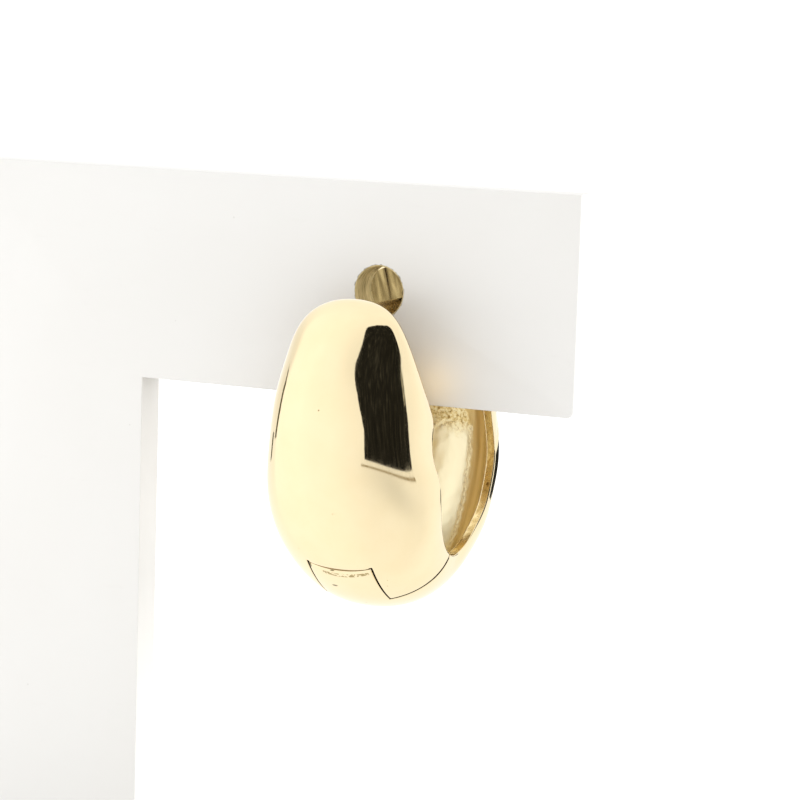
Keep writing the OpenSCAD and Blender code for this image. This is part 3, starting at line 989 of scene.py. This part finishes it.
def lacquer():
    """White lacquer with drift, specks and hairlines, and a ragged dark line round the drilled hole."""
    material, tree, shader = new_material("stand_lacquer")
    place = object_coordinates(tree)
    drift = noise(tree, place, 0.05, 3.0)
    colour = mix_colour(tree, grey_ramp(tree, drift, [(0.3, 0.0), (0.75, 1.0)]), WHITE, WHITE_WARM)
    speck_cells = node(tree, "ShaderNodeTexVoronoi", Vector=place, Scale=0.55)
    cell_pick = node(tree, "ShaderNodeSeparateColor", Color=speck_cells.outputs["Color"]).outputs["Red"]
    size = math_node(tree, "MULTIPLY", math_node(tree, "GREATER_THAN", cell_pick, 0.7), 0.035)
    speck = math_node(tree, "LESS_THAN", speck_cells.outputs["Distance"], size)
    colour = mix_colour(tree, math_node(tree, "MULTIPLY", speck, 0.35), colour, DUST)
    hair = noise(tree, object_coordinates(tree, (0.35, 1.0, 5.0)), 1.0, 2.0)
    line = grey_ramp(tree, hair, [(0.0, 0.0), (0.735, 0.0), (0.75, 1.0), (0.765, 0.0)])
    colour = mix_colour(tree, math_node(tree, "MULTIPLY", line, 0.12), colour, HAIRLINE)
    around = object_coordinates(tree, (1.0, 0.0, 1.0), (HOLE_X, 0.0, HOLE_Z))
    far = node(tree, "ShaderNodeVectorMath", {"operation": "LENGTH"}, in0=around).outputs["Value"]
    ragged = math_node(tree, "ADD", far, math_node(tree, "MULTIPLY", noise(tree, place, 3.6, 3.0, 0.6), -0.34))
    ring = grey_ramp(tree, math_node(tree, "SUBTRACT", ragged, 1.0), [(0.5, 1.0), (0.57, 0.0)])
    colour = mix_colour(tree, math_node(tree, "MULTIPLY", ring, 0.85), colour, BURR)
    tree.links.new(colour, shader.inputs["Base Color"])
    shader.inputs["Roughness"].default_value = 0.38
    bump(tree, shader, [(noise(tree, place, 0.4, 2.0), 0.02), (line, -0.004)])
    return material


def raw_core():
    """Olive-brown drilled fibre: streaks round the drill's way, and a few dark flecks."""
    material, tree, shader = new_material("stand_core")
    streaks = noise(tree, object_coordinates(tree, (1.2, 3.4, 0.5)), 1.6, 3.0, 0.55)
    colour = ramp(tree, streaks,
                  [(0.28, (0.2, 0.15, 0.06)), (0.5, (0.5, 0.4, 0.19)), (0.72, (0.64, 0.52, 0.28))])
    tree.links.new(colour, shader.inputs["Base Color"])
    shader.inputs["Roughness"].default_value = 0.75
    bump(tree, shader, [(streaks, 0.05)])
    return material


BOARD = [lacquer(), raw_core()]
print("Board finishes:", [material.name for material in BOARD])

# %% [markdown]
# ## Board and foot in place
# The board was sawn as one flat sheet, an upright with an arm, and glued on its foot. It could be joined from
# two slabs, but then a line would show between them. So one outline runs round both.

# %% Sheet with a rounded edge
def sheet_solid(name, outline, holes, thickness, edge, place, materials):
    """A flat sheet: the edge's profile carried round each path, and faces filled between the bands' ends."""
    profile = edge_profile(thickness, edge)
    parts, groups, ends, first = [], [], ([], []), 0
    for number, path in enumerate([outline] + holes):
        inward = inward_directions(path) * (-1 if number else 1)
        grid = path[None] + profile[:, :1, None] * inward[None]
        height = np.broadcast_to(profile[:, 1:, None], (*grid.shape[:2], 1))
        parts.append(np.concatenate([grid, height], axis=-1).reshape(-1, 3))
        ids = first + np.arange(height.size).reshape(grid.shape[:2])
        groups.append((ring_quads(ids), CORE if number else LACQUER))
        for end, ring in zip(ends, (ids[0], ids[-1])):
            end += zip(ring, np.roll(ring, -1))
        first += ids.size
    piece = make_mesh(name, place(np.concatenate(parts)), groups, materials)
    work = bmesh.new()
    work.from_mesh(piece.data)
    work.verts.ensure_lookup_table()
    for end in ends:
        edges = [work.edges.get((work.verts[a], work.verts[b])) for a, b in end]
        bmesh.ops.triangle_fill(work, edges=edges, use_beauty=True)
    bmesh.ops.recalc_face_normals(work, faces=work.faces)
    work.to_mesh(piece.data)
    work.free()
    piece.data.shade_smooth()
    piece.data.set_sharp_from_angle(angle=SHARP_BOARD)
    return piece


print("Corners round the drilled hole:", HOLE_STEPS)

# %% Board
def upright_place(points):
    """The board stands: its outline's second number is height, and its thickness runs back along y."""
    return np.stack([points[:, 0], points[:, 2] - PANEL_T / 2, points[:, 1]], axis=-1)


panel_outline = np.concatenate([
    [[UPRIGHT_LEFT, BASE_T], [UPRIGHT_LEFT + PANEL_W, BASE_T], [UPRIGHT_LEFT + PANEL_W, ARM_LOW]],
    arc((ARM_RIGHT - CORNER_R, ARM_LOW + CORNER_R), CORNER_R, -90, 0, CORNER_STEPS),
    [[ARM_RIGHT, ARM_TOP]],
    arc((UPRIGHT_LEFT + CORNER_R, ARM_TOP - CORNER_R), CORNER_R, 90, 180, CORNER_STEPS),
])
hole_path = arc((HOLE_X, HOLE_Z), HOLE_R, 0, 360, HOLE_STEPS + 1)[:-1]
panel = sheet_solid("stand_board", panel_outline, [hole_path], PANEL_T, PANEL_EDGE, upright_place, BOARD)
print("Board faces:", len(panel.data.polygons))

# %% Foot
base_outline = np.array([(-1, -1), (1, -1), (1, 1), (-1, 1)]) * (BASE_W / 2, BASE_D / 2)
foot = sheet_solid("stand_foot", base_outline, [], BASE_T, BASE_EDGE, lambda points: points, BOARD)
print("Foot faces:", len(foot.data.polygons))

# %% [markdown]
# ## Pieces and bodies
# The stand, the front half and the pin are one body, and the back half swings on the pin. A new piece that
# only stood at the right place would stay behind when the hinge turns, so each is given its body, and the node
# that it replaces is hidden. The board and foot are left out of mirror reflections, as the floor is, so that
# the gold mirrors nothing but the tent. The pin stays as it was packed, in satin gold.

# %% Bodies
FIXED, SWINGING = "stand_and_front", "back"
for piece, body, replaced, slot in (
        (front, FIXED, "front_half", "gold_polished"),
        (back, SWINGING, "back_half", "gold_polished"),
        (panel, FIXED, "stand_panel", "stand_board"),
        (foot, FIXED, "stand_base", "stand_board")):
    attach(piece, body)
    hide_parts(replaced)
    print(piece.name, "rides", body, "in place of", replaced)
for white in (panel, foot):
    white.visible_glossy = False
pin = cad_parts["hinge_pin"]
pin.data.materials.clear()
pin.data.materials.append(GOLDS[SATIN])

# %% [markdown]
# ## Light on the board
# A jeweller photographs gold in a white tent, so the world is an even white. A soft side lamp brightens the
# board's thin edges, and a wide lamp at the left gives the board its fall of light. The gold throws a little
# warm light on the board. Tracing it through the mirrors would be slow and grainy, so a small warm lamp beside
# the hoop stands for it. No mirror shows a lamp.

# %% World and lamps
WORLD_STRENGTH = 1.2
WINDOW_PLACE = (-62.0, -56.0, 30.0)
WINDOW_TARGET = (HOLE_X, -1.0, 42.0)
BOUNCE_PLACE = (12.6, -2.9, 40.6)
scene = bpy.context.scene
scene.view_settings.view_transform = "Standard"
world = bpy.data.worlds.new("tent")
scene.world = world
world.use_nodes = True
world.node_tree.nodes["Background"].inputs["Color"].default_value = (1.0, 1.0, 1.0, 1.0)
world.node_tree.nodes["Background"].inputs["Strength"].default_value = WORLD_STRENGTH


def lamp(name, kind, energy, place, rotation, **settings):
    """A lamp at a place in mm. settings sets the options of its kind."""
    data = bpy.data.lights.new(name, kind)
    data.energy = energy
    for key, value in settings.items():
        setattr(data, key, value)
    made = bpy.data.objects.new(name, data)
    made.location = [value * MM for value in place]
    made.rotation_euler = rotation
    made.visible_glossy = False
    scene.collection.objects.link(made)
    print(name, "at", place)


lamp("side_lamp", "SUN", 2.4, (0.0, 0.0, 0.0), (math.radians(-14.0), math.radians(75.0), 0.0),
     angle=math.radians(50.0))
toward_board = Vector(WINDOW_TARGET) - Vector(WINDOW_PLACE)
lamp("window_lamp", "AREA", 0.0092, WINDOW_PLACE, toward_board.to_track_quat("-Z", "Y").to_euler(),
     size=40.0 * MM)
lamp("gold_bounce", "POINT", 0.74e-4, BOUNCE_PLACE, (0.0, 0.0, 0.0), color=(1.0, 0.68, 0.24),
     shadow_soft_size=1.2 * MM)

# %% [markdown]
# ## The floor
# The stand sits on a pale sheet of paper. A bent backdrop would show its curve in low views, so the floor is
# flat and large enough to fill every view. A little glow of its own keeps it as bright as the world behind it.

# %% Floor
FLOOR_HALF = 3000.0
FLOOR_GLOW = 0.15 * WORLD_STRENGTH


def floor():
    """A pale square."""
    corners = np.array([(-1, -1, 0), (1, -1, 0), (1, 1, 0), (-1, 1, 0)]) * FLOOR_HALF
    piece = make_mesh("floor", corners, [([[0, 1, 2, 3]], 0)], [])
    material, _, shader = new_material("floor_white")
    shader.inputs["Base Color"].default_value = (0.85, 0.85, 0.85, 1.0)
    shader.inputs["Roughness"].default_value = 0.8
    shader.inputs["Emission Color"].default_value = (1.0, 1.0, 1.0, 1.0)
    shader.inputs["Emission Strength"].default_value = FLOOR_GLOW
    piece.data.materials.append(material)
    piece.visible_glossy = False


floor()
print("World strength:", WORLD_STRENGTH, "floor's own glow:", FLOOR_GLOW)

# %% [markdown]
# ## What the gold mirrors
# Polished gold shows hardly anything but its surroundings. A picture of a studio could be wrapped round the
# scene, but its parts can't be moved to where the gold shows them. So the tent is a round sheet whose glow
# follows a short rule: brightest on the left, quieter on the right and darkest under the opening that the
# lens looks through. The opening, a glint at its edge, two seams, a sill and a dark corner are cards in front
# of it. Each card is a sheet between a left and a right line. Only reflections see the wall and its cards.

# %% Glow and sheets
TENT_CENTRE = np.array([HOLE_X, -4.0, 37.0])


def glow_material(name, strength, colour=(1.0, 1.0, 1.0)):
    """Light from a number, or from a socket that a function of the material's tree gives."""
    material = bpy.data.materials.new(name)
    material.use_nodes = True
    tree = material.node_tree
    tree.nodes.clear()
    value = strength(tree) if callable(strength) else strength
    glow = node(tree, "ShaderNodeEmission", Color=(*colour, 1.0), Strength=value)
    out = tree.nodes.new("ShaderNodeOutputMaterial")
    tree.links.new(glow.outputs["Emission"], out.inputs["Surface"])
    return material


def tent_sheet(name, azimuth, elevation, distance, material):
    """A curved sheet about the earring that only reflections see, from grids of two angles in degrees."""
    turn, rise = np.radians(azimuth), np.radians(elevation)
    direction = np.stack([np.sin(turn) * np.cos(rise), -np.cos(turn) * np.cos(rise), np.sin(rise)], axis=-1)
    points = TENT_CENTRE + distance * direction
    rows, columns = points.shape[:2]
    sheet = make_mesh(name, points.reshape(-1, 3), [(quads(0, columns, rows, columns), 0)], [material])
    sheet.visible_camera = False
    sheet.visible_diffuse = False
    sheet.visible_shadow = False
    sheet.visible_transmission = False
    print(name, "at", distance, "mm")
    return sheet


print("Middle of the tent in mm:", TENT_CENTRE)

# %% The tent's wall
WALL_DISTANCE = 500.0
WALL_AZIMUTH = [-180, -145, -112, -100, -92, -50, -24, -8, 20, 115, 145, 180]
WALL_GLOW = [1.18, 1.22, 1.29, 1.3, 1.34, 1.37, 1.28, 1.2, 1.12, 1.12, 1.24, 1.18]
# Dark humps in the glow: depth, azimuth and its width, elevation and its width
LOW_HUMP = (0.27, 60, 42, -22, 12)
HIGH_HUMP = (0.12, 3, 28, 36, 18)
# A quieter band at the far left: depth, azimuths and shares of it, elevation and its width
SIDE_DEPTH = 0.28
SIDE_AZIMUTH = [-150, -112, -100, -92]
SIDE_SHARE = [0.0, 1.0, 1.0, 0.0]
SIDE_RISE, SIDE_WIDTH = 8, 22


def hump(azimuth, elevation, depth, middle, width, height, spread):
    """depth * exp(-((azimuth - middle) / width)^2 - ((elevation - height) / spread)^2)."""
    return depth * np.exp(-((azimuth - middle) / width) ** 2 - ((elevation - height) / spread) ** 2)


def wall_glow(azimuth, elevation):
    """A ramp over the azimuth, less the lower hump and the side band, evened out towards the zenith by the
    elevation's cosine, less the upper hump."""
    glow = np.interp(azimuth, WALL_AZIMUTH, WALL_GLOW) - hump(azimuth, elevation, *LOW_HUMP)
    aside = np.interp(azimuth, SIDE_AZIMUTH, SIDE_SHARE)
    glow = glow - SIDE_DEPTH * aside * np.exp(-((elevation - SIDE_RISE) / SIDE_WIDTH) ** 2)
    glow = WORLD_STRENGTH + (glow - WORLD_STRENGTH) * np.cos(np.radians(elevation))
    return glow - hump(azimuth, elevation, *HIGH_HUMP)


def stored_glow(tree):
    """The glow that is stored with the sheet's points."""
    return node(tree, "ShaderNodeAttribute", {"attribute_name": "glow"}).outputs["Fac"]


azimuth, elevation = np.meshgrid(np.linspace(-180, 180, 181), np.linspace(-89, 89, 90))
glow = wall_glow(azimuth, elevation)
wall = tent_sheet("tent_wall", azimuth, elevation, WALL_DISTANCE, glow_material("tent_wall", stored_glow))
wall.data.attributes.new("glow", "FLOAT", "POINT").data.foreach_set("value", glow.ravel())
print("Glow of the wall from", round(glow.min(), 2), "to", round(glow.max(), 2))

# %% From two lines to a card
CARD_COLUMNS = 24
LINE_STEPS = 60


def smooth_line(corners, count):
    """A curve through the corners of a line, at evenly spaced places along it. Between b and c it is a cubic
    whose slopes at the two are half of c - a and half of d - b."""
    corners = np.array(corners, float)
    place = np.linspace(0, len(corners) - 1, count)
    i = np.minimum(place.astype(int), len(corners) - 2)
    u = (place - i)[:, None]
    a, b = corners[np.maximum(i - 1, 0)], corners[i]
    c, d = corners[i + 1], corners[np.minimum(i + 2, len(corners) - 1)]
    return 0.5 * (2 * b + (c - a) * u + (2 * a - 5 * b + 4 * c - d) * u ** 2 + (3 * b - a - 3 * c + d) * u ** 3)


def between(left, right, columns, sag=0.0):
    """Grids of the two angles between a left and a right line. Each row hangs by its sag in the middle:
    sag * 4u(1 - u)."""
    u = np.linspace(0, 1, columns)[None, :, None]
    angles = np.array(left, float)[:, None] * (1 - u) + np.array(right, float)[:, None] * u
    return angles[..., 0], angles[..., 1] - np.reshape(sag, (-1, 1)) * (4 * u * (1 - u))[..., 0]


print("A smooth line has", LINE_STEPS, "points, and a card", CARD_COLUMNS, "columns")

# %% The tent's cards
CARD_DISTANCE = 400.0
GLINT_DISTANCE = 395.0
# Lines are lists of (azimuth, elevation)
OPENING_LEFT = [(34, 66.5), (18, 64.5), (11, 60.5), (10.5, 54), (10.5, 48.5), (7.5, 42.5), (3, 35.5), (4, 27),
                (9, 18), (13, 10.5), (17.5, 2.5), (17, -6.5), (15.7, -15.2)]
OPENING_RIGHT = [(70, 64.5), (86, 61.5), (93, 55), (92, 46), (90.5, 38), (91.5, 28), (96, 22), (101, 18),
                 (102.5, 12.5), (104, 6), (107.5, 1), (109.5, -1.5), (107, -4.3)]
OPENING_SAG = [-1.5, -1, 0, 0, 0, 0, 0, 0, 0, 0.3, 0.8, 1.6, 2.6]
GLINT_LEFT = [(95, 21), (97.5, 17), (98.5, 12), (99, 9)]
GLINT_RIGHT = [(97, 21.3), (101, 17.3), (101.5, 12.3), (100.5, 9)]
SEAM_LINE = [(-103, 9.5), (-98, 7.4), (-97.5, 4.3), (-96.5, 0.2), (-97, -3), (-98.5, -7.7)]
SEAM_LINE_LOW = [(-110, -6.5), (-111, -9.4), (-113, -11.3)]
SEAM_HALF = (3, 0)
SILL_LEFT = [(11, -18), (10, -19.2)]
SILL_RIGHT = [(108, -5.6), (109, -6.6)]
SILL_SAG = 2.8
CORNER_LEFT = [(164, -6.3), (157, -8), (157.5, -11.8), (168, -12.8)]
CORNER_RIGHT = [(184, -7.4), (198, -9.5), (186, -12), (172, -13.2)]
OPENING_TINT = (1.0, 0.98, 0.85)
SEAM_TINT = (1.0, 0.95, 0.7)
SILL_TINT = (1.0, 0.85, 0.6)


def opening_glow(tree):
    """Nearly black, with faint upright streaks of something grey behind the lens."""
    streaks = noise(tree, object_coordinates(tree, (0.055, 0.055, 0.005)), 1.0, 3.0, 0.55)
    return grey_ramp(tree, streaks, [(0.42, 0.012), (0.58, 0.02), (0.72, 0.06)])


def glint_glow(tree):
    """Broken streaks of light at the opening's right edge."""
    streaks = noise(tree, object_coordinates(tree, (0.16, 0.16, 0.012)), 1.6, 3.0, 0.6)
    return grey_ramp(tree, streaks, [(0.4, 0.05), (0.6, 0.6)])


sag = np.interp(np.linspace(0, 1, LINE_STEPS), np.linspace(0, 1, len(OPENING_SAG)), OPENING_SAG)
opening_left, opening_right = (smooth_line(line, LINE_STEPS) for line in (OPENING_LEFT, OPENING_RIGHT))
opening = between(opening_left, opening_right, CARD_COLUMNS, sag)
tent_sheet("tent_opening", *opening, CARD_DISTANCE, glow_material("tent_opening", opening_glow, OPENING_TINT))
tent_sheet("tent_glint", *between(GLINT_LEFT, GLINT_RIGHT, 2), GLINT_DISTANCE,
           glow_material("tent_glint", glint_glow, OPENING_TINT))
seam_glow = glow_material("tent_seam", 0.12, SEAM_TINT)
for name, line in (("tent_seam", SEAM_LINE), ("tent_seam_low", SEAM_LINE_LOW)):
    sides = between(np.subtract(line, SEAM_HALF), np.add(line, SEAM_HALF), 2)
    tent_sheet(name, *sides, CARD_DISTANCE, seam_glow)
tent_sheet("tent_sill", *between(SILL_LEFT, SILL_RIGHT, CARD_COLUMNS, SILL_SAG), CARD_DISTANCE,
           glow_material("tent_sill", 0.4, SILL_TINT))
tent_sheet("tent_corner", *between(CORNER_LEFT, CORNER_RIGHT, 12), CARD_DISTANCE,
           glow_material("tent_corner", 0.02))
